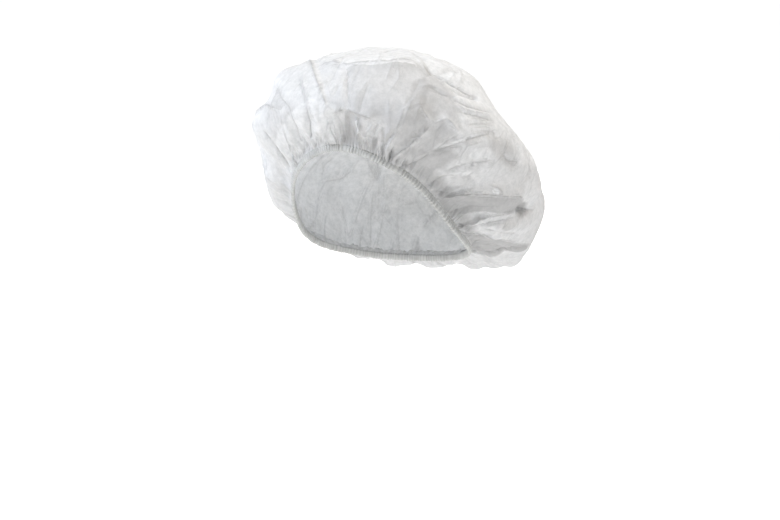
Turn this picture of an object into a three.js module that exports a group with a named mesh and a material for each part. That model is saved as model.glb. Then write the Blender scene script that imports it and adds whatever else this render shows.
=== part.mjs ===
// A disposable bouffant (beret) cap of thin white nonwoven, in the form that it takes when worn: one round
// blank, gathered all the way round onto a flat elastic loop inside a narrow folded hem. It sits high on the
// forehead, passes over the ears, goes down to the nape and bags out behind.
// Millimetres. The origin is the centre of the rim opening; -Y is the front, +X the wearer's left, +Z up.
import * as THREE from "three";

// Driving dimensions.
const WALL = 1; // of the crown and of the hem band
const HEM_HEIGHT = 6.5;
const ELASTIC_WIDTH = 4;
const ELASTIC_THICKNESS = 1;
const GAP = 0.3; // between neighbouring pieces

// Level outlines of the crown's outer face, from the rim up: half width, front end, back end, and the height
// at the bearings 0 (front), 45, 90 (side), 135 and 180 degrees (back).
const SECTIONS = [
  { name: "rim", halfWidth: 77, front: -94, back: 89, heights: [57, 34, -19, -38, -43] },
  { name: "flare", halfWidth: 105, front: -104, back: 160, heights: [68, 48, -12, -51, -60] },
  { name: "belly", halfWidth: 127, front: -113, back: 188, heights: [92, 78, 40, 2, -14] },
  { name: "shoulder", halfWidth: 93, front: -87, back: 124, heights: [121, 116, 99, 75, 64] },
  { name: "plateau", halfWidth: 60, front: -42, back: 86, heights: [136, 133, 125, 114, 108] },
];
const POLE = new THREE.Vector3(0, 24, 139.5);
const HEIGHT_STEP = Math.PI / 4; // between the bearings of the heights

// The mesh: columns go round the cap, and levels go up it, one whole level to each section.
const COLUMNS = 96;
const LEVELS = [
  0, 0.07, 0.16, 0.28, 0.42, 0.6, 0.8, 1, 1.2, 1.4, 1.6, 1.8, 2, 2.2, 2.4, 2.6, 2.8, 3, 3.2, 3.5, 3.8, 4.2, 4.6,
];

// Folds: lines over the crown from one place to another, each a bearing in degrees and a level. The depth is
// outwards if positive, and the width is half of the fold's. A crease has a sharp line and a swell is round.
const FOLDS = [
  // The left lobe, with the notch above it.
  { from: [-80, 2.9], to: [-26, 2.1], depth: -12, width: 18, form: "crease" },
  { from: [-32, 2.15], to: [-17, 1.2], depth: -5, width: 13, form: "crease" },
  { from: [-17, 1.35], to: [-24, 0.05], depth: -4, width: 11, form: "crease" },
  { from: [-82, 2.4], to: [-40, 2.2], depth: 4, width: 17, form: "swell" },
  { from: [-85, 1.8], to: [-50, 1.5], depth: -6, width: 24, form: "swell" },
  { from: [-64, 2], to: [-44, 0.8], depth: -5, width: 14, form: "crease" },
  { from: [-44, 1.2], to: [-60, 0], depth: -5, width: 12, form: "crease" },
  { from: [-85, 0.8], to: [-50, 1], depth: 7, width: 24, form: "swell" },
  // The upper left lobe, and the long folds that run from it towards the forehead.
  { from: [-84, 3.4], to: [-30, 2.8], depth: 7, width: 24, form: "swell" },
  { from: [-24, 3.05], to: [-9, 1.9], depth: -4, width: 11, form: "crease" },
  { from: [-9, 2.2], to: [-12, 0.7], depth: -4, width: 11, form: "crease" },
  { from: [-80, 4.2], to: [-20, 3.15], depth: -5, width: 15, form: "crease" },
  { from: [-26, 3.35], to: [-6, 2.6], depth: -5, width: 13, form: "crease" },
  { from: [-8, 2.75], to: [4, 1.75], depth: -5, width: 11, form: "crease" },
  { from: [2, 3.25], to: [9, 2.3], depth: -3, width: 11, form: "crease" },
  // The front edge of the plateau.
  { from: [-20, 3.1], to: [60, 3.2], depth: 4, width: 16, form: "crease" },
  // The pocket over the middle of the forehead, between two ridges.
  { from: [6, 1.95], to: [5, 0.1], depth: -8, width: 14, form: "swell" },
  { from: [14, 1.95], to: [15, 0.2], depth: 4, width: 10, form: "crease" },
  { from: [-3, 1.9], to: [-5, 0.2], depth: 3, width: 10, form: "crease" },
  // The ridge at the end of the front panel, the hollow behind it and the flap that rises from the temple.
  { from: [38, 2.75], to: [26, 0.2], depth: 6, width: 15, form: "crease" },
  { from: [43, 2.5], to: [36, 1], depth: -8, width: 14, form: "crease" },
  { from: [32, 0.2], to: [62, 2.1], depth: 7, width: 16, form: "crease" },
  { from: [44, 0.5], to: [63, 2.05], depth: -6, width: 11, form: "crease" },
  { from: [49, 0.4], to: [74, 2.15], depth: 5, width: 12, form: "crease" },
  // The shoulder on the wearer's left.
  { from: [40, 3.3], to: [78, 2.6], depth: -6, width: 13, form: "crease" },
  { from: [36, 2.9], to: [66, 2.4], depth: 5, width: 13, form: "crease" },
  { from: [66, 2.25], to: [80, 1.55], depth: -5, width: 13, form: "crease" },
  { from: [88, 3.2], to: [124, 1.9], depth: -10, width: 36, form: "swell" },
  // The folds that run back from the temple and the ear to the bag.
  { from: [54, 0.1], to: [78, 1.75], depth: -5, width: 12, form: "crease" },
  { from: [58, 0.1], to: [92, 1.65], depth: 7, width: 14, form: "crease" },
  { from: [66, 0.2], to: [98, 1.5], depth: -9, width: 13, form: "crease" },
  { from: [84, 1.2], to: [106, 1.6], depth: -8, width: 14, form: "crease" },
  { from: [76, 0.2], to: [102, 1.25], depth: 7, width: 13, form: "crease" },
  { from: [88, 0.15], to: [112, 1.25], depth: -5, width: 11, form: "crease" },
  { from: [88, 0.1], to: [128, 1.45], depth: 6, width: 13, form: "crease" },
  { from: [102, 0.1], to: [130, 1.2], depth: -5, width: 12, form: "crease" },
  { from: [112, 0.6], to: [150, 1.1], depth: 6, width: 30, form: "swell" },
  // The bag behind, and the wearer's right side.
  { from: [134, 0.15], to: [150, 2.1], depth: -6, width: 14, form: "crease" },
  { from: [150, 0.5], to: [172, 2.5], depth: -5, width: 16, form: "crease" },
  { from: [172, 0.1], to: [186, 1.9], depth: -7, width: 15, form: "crease" },
  { from: [162, 3.4], to: [212, 2.2], depth: -5, width: 16, form: "crease" },
  { from: [196, 0.2], to: [206, 2.3], depth: -5, width: 14, form: "crease" },
  { from: [218, 0.1], to: [222, 1.8], depth: -7, width: 14, form: "crease" },
  { from: [204, 1.2], to: [240, 1.4], depth: 5, width: 26, form: "swell" },
  { from: [238, 0.2], to: [234, 2.6], depth: -5, width: 14, form: "crease" },
  { from: [256, 0.1], to: [246, 2], depth: -6, width: 14, form: "crease" },
  { from: [268, 0.2], to: [260, 2.8], depth: -5, width: 14, form: "crease" },
  { from: [228, 3.5], to: [262, 2.6], depth: -5, width: 15, form: "crease" },
];
const FOLD_STEPS = 12; // along each fold's line
const FOLD_FADE = 0.3; // the share of its length in which a fold's end dies away
const RIM_FADE = 0.35; // the level below which the elastic holds the folds flat

// Gathers at the rim: zigzag pleats of two columns each, deepest a little above the hem.
const GATHER_AT_HEM = 0.6;
const GATHER_DEPTH = 1.8;
const GATHER_PEAK = 0.28; // level
const GATHER_REACH = 1.1; // level at which a pleat ends, give or take the spread
const GATHER_SPREAD = 0.5;

function spline(p0, p1, p2, p3, u) {
  const cubic = 3 * (p1 - p2) + p3 - p0;
  const square = 2 * p0 - 5 * p1 + 4 * p2 - p3;
  return 0.5 * (((cubic * u + square) * u + p2 - p0) * u + 2 * p1);
}

function splinePoint(points, u) {
  const along = (axis) => spline(...points.map((point) => point[axis]), u);
  return new THREE.Vector3(along("x"), along("y"), along("z"));
}

// A section's height: the same on both sides of the cap, so the bearing is folded into 0 to 180 degrees.
function heightAt(heights, bearing) {
  const last = heights.length - 1;
  const place = Math.acos(Math.cos(bearing)) / HEIGHT_STEP;
  const start = Math.min(Math.floor(place), last - 1);
  const height = (index) => heights[last - Math.abs(last - Math.abs(index))];
  return spline(height(start - 1), height(start), height(start + 1), height(start + 2), place - start);
}

function sectionPoint({ halfWidth, front, back, heights }, bearing) {
  const x = halfWidth * Math.sin(bearing);
  const y = (front + back) / 2 - ((back - front) / 2) * Math.cos(bearing);
  return new THREE.Vector3(x, y, heightAt(heights, bearing));
}

const bearingOf = (column) => (2 * Math.PI * column) / COLUMNS;
const rimPoint = (bearing) => sectionPoint(SECTIONS[0], bearing);

// The hem's own directions at a bearing: along the rim, up the head and out from it.
function rimFrame(bearing) {
  const step = 0.01;
  const along = rimPoint(bearing + step).sub(rimPoint(bearing - step)).normalize();
  const up = new THREE.Vector3(0, 0, 1).addScaledVector(along, -along.z).normalize();
  const out = new THREE.Vector3().crossVectors(along, up);
  return { at: rimPoint(bearing), up, out };
}

// The crown's smooth outer face. At the rim it leaves along the hem, and it passes over the pole smoothly.
function smoothPoint(bearing, level) {
  const sections = SECTIONS.map((section) => sectionPoint(section, bearing));
  const { at, up } = rimFrame(bearing);
  const below = at.clone().addScaledVector(up, -at.distanceTo(sections[1]));
  const beyond = sectionPoint(SECTIONS.at(-1), bearing + Math.PI);
  const points = [below, ...sections, POLE, beyond];
  const start = Math.min(Math.floor(level), SECTIONS.length - 1);
  return splinePoint(points.slice(start, start + 4), level - start);
}

function smoothNormal(bearing, level) {
  const step = 0.01;
  const round = smoothPoint(bearing + step, level).sub(smoothPoint(bearing - step, level));
  const low = Math.max(level - step, 0);
  const up = smoothPoint(bearing, level + step).sub(smoothPoint(bearing, low));
  return round.cross(up).normalize();
}

const smoothstep = (x) => THREE.MathUtils.smoothstep(x, 0, 1);

const PROFILES = {
  crease: (x) => (1 - x) ** 2,
  swell: (x) => (1 - x * x) ** 2,
};

const foldLines = FOLDS.map((fold) => {
  const points = [];
  for (let i = 0; i <= FOLD_STEPS; i++) {
    const bearing = THREE.MathUtils.lerp(fold.from[0], fold.to[0], i / FOLD_STEPS);
    const level = THREE.MathUtils.lerp(fold.from[1], fold.to[1], i / FOLD_STEPS);
    points.push(smoothPoint(THREE.MathUtils.degToRad(bearing), level));
  }
  return { ...fold, points };
});

// How far one fold moves a point of the smooth face: by its profile across it, and fading at its two ends.
function foldShift({ points, depth, width, form }, at) {
  const segment = new THREE.Line3();
  const foot = new THREE.Vector3();
  let nearest = Infinity;
  let along = 0;
  for (let i = 0; i < FOLD_STEPS; i++) {
    segment.set(points[i], points[i + 1]);
    const share = segment.closestPointToPointParameter(at, true);
    const distance = segment.at(share, foot).distanceTo(at);
    if (distance < nearest) {
      nearest = distance;
      along = (i + share) / FOLD_STEPS;
    }
  }
  if (nearest >= width) return 0;
  return depth * PROFILES[form](nearest / width) * smoothstep(Math.min(along, 1 - along) / FOLD_FADE);
}

function gatherShift(column, level) {
  const side = column % 2 ? -1 : 1;
  const pleat = Math.floor(column / 2);
  const reach = GATHER_REACH + GATHER_SPREAD * Math.sin(2.4 * pleat);
  const rise = THREE.MathUtils.lerp(GATHER_AT_HEM, GATHER_DEPTH, smoothstep(level / GATHER_PEAK));
  return side * rise * smoothstep((reach - level) / (reach - GATHER_PEAK));
}

// The crown's outer face as rings of points, from the hem up, each with COLUMNS points.
function crownRings() {
  const rings = [];
  for (const level of LEVELS) {
    const ring = [];
    for (let column = 0; column < COLUMNS; column++) {
      const bearing = bearingOf(column);
      const point = smoothPoint(bearing, level);
      let shift = 0;
      for (const fold of foldLines) shift += foldShift(fold, point);
      shift = shift * smoothstep(level / RIM_FADE) + gatherShift(column, level);
      const { up, out } = rimFrame(bearing);
      const away = smoothNormal(bearing, level).lerp(out, 1 - smoothstep(level / GATHER_PEAK)).normalize();
      ring.push(point.addScaledVector(away, shift).addScaledVector(up, level === 0 ? GAP : 0));
    }
    rings.push(ring);
  }
  return rings;
}

// A surface from its points and the corners of its faces, three or four to a face, anticlockwise from outside.
function surfaceOf(points, faces) {
  const geometry = new THREE.BufferGeometry().setFromPoints(points);
  geometry.setIndex(faces.flatMap(([a, b, c, d]) => (d === undefined ? [a, b, c] : [a, b, c, a, c, d])));
  geometry.computeVertexNormals();
  return geometry;
}

function pieceOf(name, points, faces, color) {
  const material = new THREE.MeshStandardMaterial({ color, roughness: 0.85, metalness: 0 });
  const piece = new THREE.Mesh(surfaceOf(points, faces), material);
  piece.name = name;
  return piece;
}

// The faces of a dome of rings, whose points begin at first and end with the pole.
function domeFaces(rings, first) {
  const faces = [];
  const pole = first + rings * COLUMNS;
  for (let column = 0; column < COLUMNS; column++) {
    const next = (column + 1) % COLUMNS;
    for (let ring = 0; ring < rings - 1; ring++) {
      const low = first + ring * COLUMNS;
      const high = low + COLUMNS;
      faces.push([low + column, low + next, high + next, high + column]);
    }
    faces.push([pole - COLUMNS + column, pole - COLUMNS + next, pole]);
  }
  return faces;
}

// A face turned over keeps its first corner, so that both walls of the crown are cut along the same diagonals.
const turnedOver = ([start, ...others]) => [start, ...others.reverse()];

function makeCrown() {
  const rings = crownRings();
  const outer = [...rings.flat(), POLE];
  const outerFaces = domeFaces(rings.length, 0);
  const normals = surfaceOf(outer, outerFaces).getAttribute("normal");
  const inner = outer.map((point, index) => {
    const away = new THREE.Vector3().fromBufferAttribute(normals, index);
    if (index < COLUMNS) away.copy(rimFrame(bearingOf(index)).out);
    return point.clone().addScaledVector(away, -WALL);
  });
  const innerFaces = domeFaces(rings.length, outer.length).map(turnedOver);
  const edgeFaces = [];
  for (let column = 0; column < COLUMNS; column++) {
    const next = (column + 1) % COLUMNS;
    edgeFaces.push([column, outer.length + column, outer.length + next, next]);
  }
  return pieceOf("crown", [...outer, ...inner], [...outerFaces, ...innerFaces, ...edgeFaces], 0xf2f3f3);
}

// A loop round the rim. The section at a column is a list of [out, up] from the rim, anticlockwise seen with
// out to the right and up above.
function makeLoop(name, sectionAt, color) {
  const points = [];
  const faces = [];
  for (let column = 0; column < COLUMNS; column++) {
    const { at, up, out } = rimFrame(bearingOf(column));
    const section = sectionAt(column);
    const corners = section.length;
    const here = column * corners;
    const there = ((column + 1) % COLUMNS) * corners;
    section.forEach(([outwards, upwards], corner) => {
      points.push(at.clone().addScaledVector(out, outwards).addScaledVector(up, upwards));
      const next = (corner + 1) % corners;
      faces.push([here + corner, there + corner, there + next, here + next]);
    });
  }
  return pieceOf(name, points, faces, color);
}

// The hem band folds up round the elastic, so its section is a U, open above.
const HOLLOW_OUTSIDE = -GATHER_AT_HEM - WALL;
const HOLLOW_INSIDE = HOLLOW_OUTSIDE - ELASTIC_THICKNESS - 2 * GAP;
const HOLLOW_FLOOR = WALL - HEM_HEIGHT;
const INNER_LEG_TOP = -2 * GAP;

function hemSection(column) {
  const pleat = gatherShift(column, 0);
  return [
    [pleat, -HEM_HEIGHT],
    [pleat, 0],
    [pleat - WALL, 0],
    [HOLLOW_OUTSIDE, HOLLOW_FLOOR],
    [HOLLOW_INSIDE, HOLLOW_FLOOR],
    [HOLLOW_INSIDE, INNER_LEG_TOP],
    [HOLLOW_INSIDE - WALL, INNER_LEG_TOP],
    [HOLLOW_INSIDE - WALL, -HEM_HEIGHT],
  ];
}

function elasticSection() {
  const outside = HOLLOW_OUTSIDE - GAP;
  const inside = outside - ELASTIC_THICKNESS;
  const bottom = HOLLOW_FLOOR + GAP;
  const top = bottom + ELASTIC_WIDTH;
  return [
    [outside, bottom],
    [outside, top],
    [inside, top],
    [inside, bottom],
  ];
}

const cap = new THREE.Group();
cap.add(makeCrown());
cap.add(makeLoop("hem_band", hemSection, 0xeceded));
cap.add(makeLoop("elastic", elasticSection, 0xf7f7f5));

export default cap;
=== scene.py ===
"""A disposable beret cap of white spunbond nonwoven, gathered onto an elastic in a narrow stitched hem."""

import math
from collections import namedtuple

import bmesh
import bpy
import numpy as np
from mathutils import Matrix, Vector
from mathutils.bvhtree import BVHTree


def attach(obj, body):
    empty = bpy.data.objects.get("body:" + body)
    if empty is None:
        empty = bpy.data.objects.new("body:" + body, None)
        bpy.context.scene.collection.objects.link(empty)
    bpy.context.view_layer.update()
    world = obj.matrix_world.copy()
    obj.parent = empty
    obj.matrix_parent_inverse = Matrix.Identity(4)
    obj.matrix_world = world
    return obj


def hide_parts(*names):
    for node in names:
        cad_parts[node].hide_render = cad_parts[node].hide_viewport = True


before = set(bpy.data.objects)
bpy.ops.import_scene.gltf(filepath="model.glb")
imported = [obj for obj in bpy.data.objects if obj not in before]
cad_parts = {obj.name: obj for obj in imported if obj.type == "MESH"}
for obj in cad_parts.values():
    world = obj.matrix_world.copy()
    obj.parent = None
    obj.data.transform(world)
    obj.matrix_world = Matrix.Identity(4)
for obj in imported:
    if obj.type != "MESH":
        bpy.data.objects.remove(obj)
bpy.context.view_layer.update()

# Metres and degrees, unless a comment says otherwise. A bearing goes round the cap from its front, with the
# wearer's left positive. A height goes up the cloth, from 0 at the hem to 1 at the crown's middle.

# The blank: a round sheet, cut flat.
BLANK_RADIUS = 0.2723  # a 21-inch cap, 533.4 mm across, and 5.6 mm all round that the hem folds in
ZONES = [  # from the edge in: spokes, rings and how wide each ring is
    {"spokes": 176, "rings": 5, "width": 0.0046},
    {"spokes": 88, "rings": 16, "width": 0.0112},
]
CLOTH_THICK = 0.0003  # twice the real cloth's, so that its two faces stay apart

# The form that the worn cap has, felt out from inside it.
FORM_CENTRE = Vector((0, 0.035, 0.04))
FORM_POLE = Vector((0, 0.100, 0.128))  # the blank's middle, as far from the front of the rim as from its back
BEARINGS = 720
STATIONS = 300
FEELER = 0.4  # how far out the feeling starts
FACET_BLUR = 0.0026 / 1.41  # how far the faceted solid is smoothed, in each of two passes
RIM_BLUR = 5  # how far the faceted elastic is smoothed, in degrees of bearing
POLE_STATIONS = 3  # the stations that lie too close together, at the crown's middle, to tell which way is out

# How the cloth buckles.
BEGUN = 0.5  # the share of the creases' depth that it starts with
HOLD = 0.02  # how firmly the form holds it, where 1 is fast
HELD_BELOW = 0.02  # the height up to which the hem holds it fast
HOLD_FADE = 0.06  # over which that fades
FRAMES = 30
MOST_MOVED = 0.004
MOST_MOVED_OUT = 0.001
STIFFNESS = {
    "quality": 6,
    "mass": 0.15,
    "tension_stiffness": 40,
    "compression_stiffness": 40,
    "shear_stiffness": 20,
    "bending_stiffness": 2,
    "tension_damping": 10,
    "compression_damping": 10,
    "shear_damping": 10,
    "bending_damping": 1,
    "air_damping": 4,
    "pin_stiffness": 1,
    "shrink_min": -0.03,  # the cloth is cut 3% larger than the form
    "shrink_max": -0.03,
}

# The gathers: for each row how many, how far they run up from the hem, and half their width and their depth.
GATHERS = [
    {"count": 170, "reach": 0.018, "half_width": 0.0015, "depth": 0.0020},
    {"count": 96, "reach": 0.026, "half_width": 0.0024, "depth": 0.0026},
    {"count": 36, "reach": 0.070, "half_width": 0.0050, "depth": 0.0020},
]
LEAN_OVER = 0.05  # how far up a gather's lean is measured
# Where the large folds take up the cloth the gathers are shallower: from bearing to bearing, by which share.
CALM = [(-47.714, 0.62), (-38, 0.28), (-30, 0.24), (-18, 0.6), (-2, 0.6), (18, 0), (34, 0), (42, 0.6)]

# The hem: a folded band round the elastic.
HEM_TOP = 0.0023  # its upper edge, above the elastic's middle
HEM_OUT = 0.0014  # and out from it
HEM_PLEATS = 188
PLEAT_DEPTH = 0.001
PLEAT_FADE = 0.007  # how far up the cloth they run on
# How its pitch varies: by how many radians, how many times round, and from where.
UNEVEN_PITCH = [(2.6, 5, 1), (1.9, 11, 2.2), (1.3, 23, 0.4), (0.8, 41, 0)]
# Its section, from the turned-up edge inside, round below the elastic and up outside: out and up from the
# elastic's middle, and how deep the pleats are there, in millimetres.
HEM_SECTION = [
    {"out": -1.30, "up": 2.4, "pleat": 0.30},
    {"out": -1.40, "up": 1.0, "pleat": 0.35},
    {"out": -1.40, "up": -1.2, "pleat": 0.35},
    {"out": -1.15, "up": -2.4, "pleat": 0.40},
    {"out": -0.60, "up": -3.0, "pleat": 0.40},
    {"out": 0.15, "up": -3.2, "pleat": 0.50},
    {"out": 0.90, "up": -3.0, "pleat": 0.60},
    {"out": 1.40, "up": -2.2, "pleat": 0.75},
    {"out": 1.60, "up": -0.9, "pleat": 0.80},
    {"out": 1.55, "up": 0.5, "pleat": 0.75},
    {"out": 1.30, "up": 1.3, "pleat": 0.45},
    {"out": 1.60, "up": 2.6, "pleat": 0.80},
]
RING_STEP = 0.001  # its rings start this far apart, which tells them from each other
RUFFLED_BELOW = 0.002  # its lower edge, from this far below the elastic's middle, isn't level
RUFFLED_OVER = 0.0015
RUFFLE_FINE = 0.00035  # with the pleats
RUFFLE_WIDE = 0.0004  # and in longer waves
SEAM = HEM_SECTION[10]  # the groove that the seam draws in
STITCHES = 172
STITCH_LONG = 0.0026
STITCH_THICK = 0.00042
STITCH_OUT = 0.0005  # out from the groove
STITCH_UP = 0.0014
STITCH_TURN = 0.1  # how far a stitch is turned from the rim's way, in radians

# How the creases are pressed, in millimetres, apart from the shares.
STREWN = 380  # small ones at random
LONG_FOLDS = 34  # up from the hem, round the back
LONG_FROM = 118
LONG_TO = 300
GAIN = 1.3  # how much deeper all are made than their rows say
FINEST = 3.6  # the narrowest side that the cloth's mesh can hold
FINEST_BY_HEM = 1.8  # and by the hem, where the mesh is finer
BY_HEM = 0.15  # the height up to which that is
END_FADE = 0.15  # the share of a crease over which each end runs out
AT_HEM = 0.06  # an end below this height doesn't run out
LINE_REACH = 3.6  # how far from a crease its painted shade line is noted
LINE_FADE = 1.5  # over which it fades
FULL_DEPTH = 1.5  # the depth at which a crease's painted shade line is strongest
EDGE_REACH = 8.0  # how far from the edge of an area of painted shading the gap to it is noted
PAINTED_SHADE_IN_GATHERS = 1.6  # painted shade in the deepest gathers' hollows, counted as the layers that they add
PAINTED_SHADE_IN_CREASES = 0.8  # and in the deepest creases
DEEPEST = 0.003  # the depth of those, in metres
FOLDS_FROM = 0.015  # the creases start at the hem and are whole from this height on
SHARP = 20  # edges over this angle stay sharp
DEGREE_RISE = 0.0055  # a degree of bearing is as long on a path as this much of height
PATH_STEPS = 8  # for each of its places

# Creases that the worn cap shows. Depth is inwards, so a ridge has a negative one, and left and right are how
# far its two flat sides reach, as seen from outside along the path, all in millimetres. A steep side is where
# one fold lies over the next. A path goes from place to place over the cloth, each a bearing and a height.
Crease = namedtuple("Crease", "depth left right path")
CREASES = [
    # The lobe on the right, which the front panel overlaps.
    Crease(-1.8, 10, 2, [(-66, 0.36), (-45, 0.275), (-32, 0.2), (-27, 0.17)]),
    Crease(1.0, 2, 4, [(-37, 0.315), (-28, 0.225), (-21, 0.165), (-22, 0.105), (-24, 0.05)]),
    Crease(-1.4, 8, 2, [(-27, 0.17), (-29, 0.12), (-30, 0.085), (-35, 0.035), (-38, 0.01)]),
    Crease(1.5, 6, 2, [(-46, 0.18), (-45, 0.125), (-45, 0.075), (-48, 0.03)]),
    Crease(1.2, 4, 4, [(-62, 0.42), (-52, 0.33)]),
    # The long folds that run down to the right half of the forehead.
    Crease(1.3, 2, 2, [(-22, 0.31), (-14, 0.205), (-11, 0.15), (-12, 0.095), (-15, 0.05)]),
    Crease(-0.9, 2, 2.5, [(-19, 0.3), (-11, 0.2), (-8, 0.15), (-10, 0.09)]),
    Crease(-2.0, 2.5, 20, [(-30, 0.45), (-23, 0.4), (-14, 0.315), (-5, 0.22), (0, 0.155), (4, 0.12)]),
    Crease(1.0, 2, 2.5, [(4, 0.305), (7, 0.26), (11, 0.165), (13, 0.13)]),
    # The pocket over the middle of the forehead and the pointed pleat in it.
    Crease(-1.3, 9, 1.8, [(2, 0.115), (8, 0.13), (15, 0.137), (25, 0.13)]),
    Crease(-0.8, 1.8, 5, [(10, 0.12), (7, 0.065), (4, 0.01)]),
    Crease(-1.3, 2.5, 2.5, [(14, 0.12), (17, 0.09), (15, 0.045)]),
    Crease(0.5, 9, 5, [(11, 0.12), (9, 0.06), (7, 0.01)]),
    # Slender pleats beside it, to the right and to the left of the face.
    Crease(-0.6, 2, 2.5, [(2, 0.095), (-2, 0.04), (-6, 0.01)]),
    Crease(0.6, 2, 2.5, [(1, 0.095), (-4, 0.045), (-9, 0.01)]),
    Crease(0.7, 1.8, 2.5, [(-6, 0.06), (-11, 0.01)]),
    Crease(0.8, 1.8, 2.5, [(-10, 0.05), (-14, 0.01)]),
    Crease(0.8, 1.8, 2.5, [(-15, 0.05), (-21, 0.01)]),
    Crease(0.7, 1.8, 2.5, [(-18, 0.045), (-24, 0.01)]),
    Crease(0.8, 1.8, 2.5, [(-22, 0.045), (-27, 0.01)]),
    Crease(0.7, 1.8, 2.5, [(-30, 0.05), (-34, 0.01)]),
    Crease(0.7, 1.8, 2.5, [(-37, 0.045), (-41, 0.01)]),
    Crease(-0.8, 2, 2.5, [(16, 0.01), (23, 0.125)]),
    Crease(0.5, 2, 2.5, [(18, 0.01), (26, 0.135)]),
    Crease(-0.8, 2, 2.5, [(20, 0.01), (27, 0.145)]),
    Crease(0.5, 2, 2.5, [(22, 0.01), (29, 0.14)]),
    Crease(-0.8, 2, 2.5, [(25, 0.01), (31, 0.13)]),
    Crease(0.5, 2, 2.5, [(27, 0.01), (33, 0.13)]),
    Crease(-0.8, 2, 2.5, [(29, 0.01), (34, 0.12)]),
    # The hollow behind the front panel, and the flap that rises from the temple over it.
    Crease(-0.9, 8, 8, [(34, 0.26), (34, 0.17), (32, 0.08), (30, 0.01)]),
    Crease(-2.0, 10, 1.8, [(46, 0.197), (43, 0.15), (39, 0.085), (34, 0.01)]),
    Crease(-0.9, 8, 2, [(38, 0.25), (42, 0.217), (46, 0.197)]),
    Crease(-0.8, 4, 2, [(46, 0.197), (48, 0.22), (50, 0.242), (56, 0.227)]),
    Crease(1.1, 3, 2, [(56, 0.227), (53, 0.175), (51, 0.12), (45, 0.035), (41, 0.01)]),
    # The crumples at the flap's upper end.
    Crease(1.4, 3, 2, [(51, 0.12), (55, 0.17), (60, 0.235), (64, 0.29), (67, 0.32)]),
    Crease(1.3, 2, 2, [(58, 0.22), (60, 0.26), (64, 0.305), (67, 0.33), (67, 0.3)]),
    Crease(-0.8, 1.5, 1.5, [(54, 0.18), (59, 0.245), (64, 0.297)]),
    Crease(-0.8, 5, 2, [(64, 0.26), (60, 0.21), (60, 0.17), (62, 0.135)]),
    Crease(1.2, 2, 3, [(71, 0.295), (76, 0.29), (79, 0.318), (79, 0.27)]),
    # The shoulder on the left.
    Crease(1.6, 2, 6, [(37, 0.43), (45, 0.41), (53, 0.42), (60, 0.44)]),
    Crease(1.2, 2, 3, [(47, 0.365), (52, 0.37), (60, 0.44)]),
    Crease(1.0, 2, 4, [(40, 0.325), (46, 0.31), (50, 0.325)]),
    Crease(1.1, 1.8, 2.5, [(48, 0.31), (55, 0.33), (65, 0.405)]),
    Crease(-0.8, 2, 2, [(50, 0.295), (57, 0.325), (65, 0.39)]),
    Crease(1.1, 1.8, 2.5, [(52, 0.28), (59, 0.325), (66, 0.37)]),
    Crease(1.0, 1.8, 2.5, [(56, 0.26), (61, 0.31), (66, 0.35)]),
    # The folds that run back from the temple and the ear to the bag.
    Crease(1.1, 2, 4, [(59, 0.095), (62, 0.147), (67, 0.205), (71, 0.255)]),
    Crease(0.6, 2, 4, [(60, 0.01), (66, 0.047), (70, 0.1), (73, 0.147)]),
    Crease(0.9, 2, 3, [(58, 0.025), (61, 0.09), (70, 0.157)]),
    Crease(-0.9, 2, 2, [(76, 0.185), (79, 0.2), (82, 0.205)]),
    Crease(-1.5, 9, 2, [(66, 0.027), (72, 0.1), (78, 0.16), (88, 0.25), (99, 0.275)]),
    Crease(0.7, 4, 3, [(75, 0.02), (79, 0.067), (82, 0.127), (86, 0.185)]),
    Crease(2.4, 5, 5, [(97, 0.235), (105, 0.285)]),
    Crease(-1.4, 2, 9, [(85, 0.01), (86, 0.08), (91, 0.155), (99, 0.23)]),
    Crease(1.0, 2, 2, [(83, 0.01), (87, 0.037), (91, 0.11), (100, 0.217)]),
    Crease(0.9, 2, 3, [(92, 0.07), (104, 0.15), (113, 0.2)]),
    Crease(-1.6, 10, 2.5, [(88, 0.005), (92, 0.02), (102, 0.08), (116, 0.187)]),
    Crease(1.5, 3, 3, [(136, 0.04), (125, 0.11), (118, 0.16), (120, 0.2)]),
    # The front edge of the flat top, and the creases on it.
    Crease(-1.7, 20, 12, [(-14, 0.34), (4, 0.31), (9, 0.32), (23, 0.36), (34, 0.435)]),
    Crease(-0.8, 3, 3, [(-16, 0.37), (-17, 0.45), (-18, 0.49)]),
    Crease(-0.8, 3, 3, [(-5, 0.315), (-1, 0.345), (-2, 0.42)]),
]
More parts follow.
